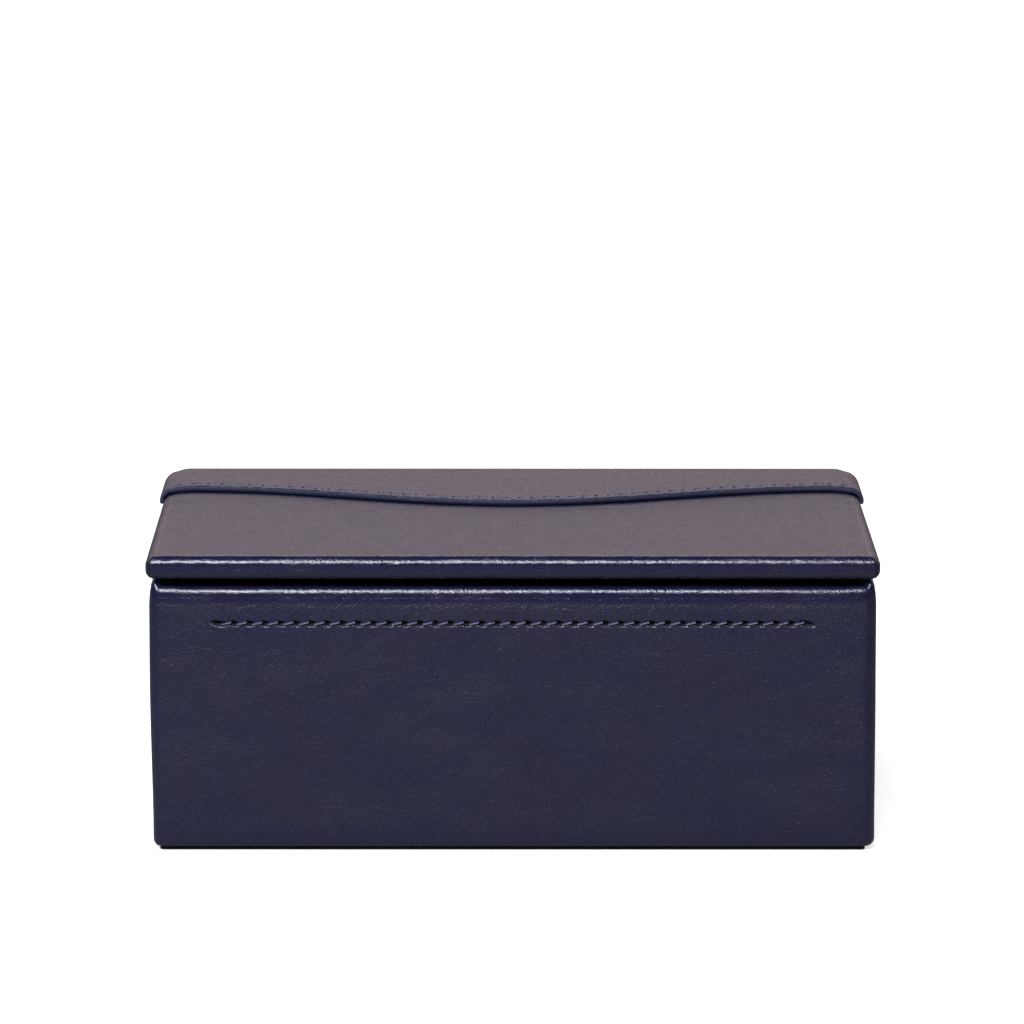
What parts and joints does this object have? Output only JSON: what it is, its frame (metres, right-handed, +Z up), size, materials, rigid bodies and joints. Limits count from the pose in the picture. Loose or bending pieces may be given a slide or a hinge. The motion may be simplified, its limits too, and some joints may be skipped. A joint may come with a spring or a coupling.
{
  "type": "leather desk box",
  "caption": "Rectangular leather-covered box with a flat lid that lifts on a sewn leather hinge under an ogee-edged overlay.",
  "frame": {"origin": "on the floor under the middle of the closed box", "axes": "+X along the front to the viewer's right, the front faces -Y, +Z up"},
  "size_m": [0.2398, 0.168, 0.1003],
  "materials": {
    "navy_leather": "smooth pigmented navy hide with a soft sheen and a fine grain",
    "navy_thread": "waxed two-ply linen thread",
    "grey_board": "raw fibre board",
    "tan_suede": "brushed suede",
    "grey_felt": "pressed felt"
  },
  "bodies": {
    "box": {"base_leather": "navy_leather", "base_filler": "grey_board", "base_board": "grey_board", "front_board": "grey_board", "back_board": "grey_board", "left_board": "grey_board", "right_board": "grey_board", "wall_leather": "navy_leather", "front_lining": "tan_suede", "back_lining": "tan_suede", "left_lining": "tan_suede", "right_lining": "tan_suede", "floor_pad": "grey_felt", "floor_lining": "tan_suede", "front_stitching": "navy_thread", "left_stitching": "navy_thread", "right_stitching": "navy_thread", "back_flap": "navy_leather", "back_stitching": "navy_thread", "hinge_strip": "navy_leather"},
    "lid": {"lid_board": "grey_board", "lid_leather": "navy_leather", "lid_lining": "tan_suede", "yoke": "navy_leather", "yoke_stitching": "navy_thread"}
  },
  "joints": [
    {"name": "lid_hinge", "type": "hinge", "parent": "box", "child": "lid", "pos_m": [0, 0.0825, 0.08945], "axis": [-1, 0, 0], "range_deg": [0, 110], "deforming": ["hinge_strip"]}
  ]
}
